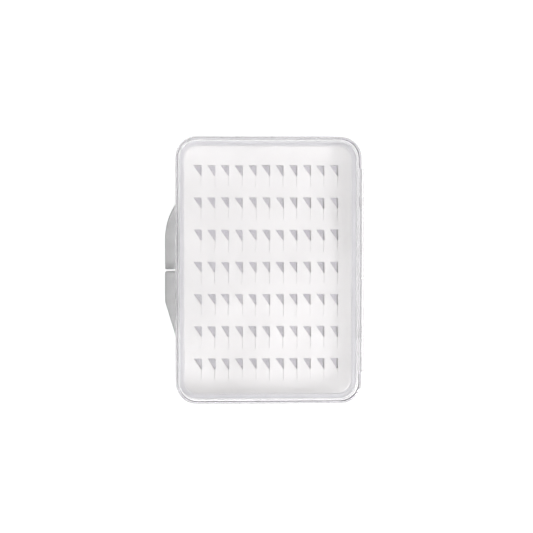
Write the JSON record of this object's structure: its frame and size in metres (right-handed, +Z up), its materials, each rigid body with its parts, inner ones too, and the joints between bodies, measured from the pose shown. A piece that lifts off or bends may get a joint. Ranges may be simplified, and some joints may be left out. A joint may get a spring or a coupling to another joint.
{
  "type": "dry fly box",
  "caption": "Slim clear hinged box with a slotted white foam sheet for storing dry flies, a rim seal and a split thumb tab.",
  "frame": {"origin": "centre of the flat underside, halfway along the box and halfway across its shells without the hinge and the thumb tab", "axes": "+X towards the hinge, +Y along the long side, +Z up through the shut lid"},
  "size_m": [0.079, 0.105, 0.016],
  "materials": {
    "clear_plastic": "gloss",
    "silicone": "satin",
    "white_foam": "matte",
    "adhesive_film": "satin",
    "pin_steel": "satin",
    "grip_rubber": "matte"
  },
  "bodies": {
    "base": {"base_shell": "clear_plastic", "rim_seal": "silicone", "slotted_foam": "white_foam", "foam_adhesive_film": "adhesive_film", "hinge_pin": "pin_steel", "base_thumb_grip": "grip_rubber"},
    "lid": {"lid_shell": "clear_plastic", "lid_thumb_grip": "grip_rubber"}
  },
  "joints": [
    {"name": "lid_hinge", "type": "hinge", "parent": "base", "child": "lid", "pos_m": [0.03715, 0, 0.008], "axis": [0, 1, 0], "range_deg": [0, 180]}
  ]
}
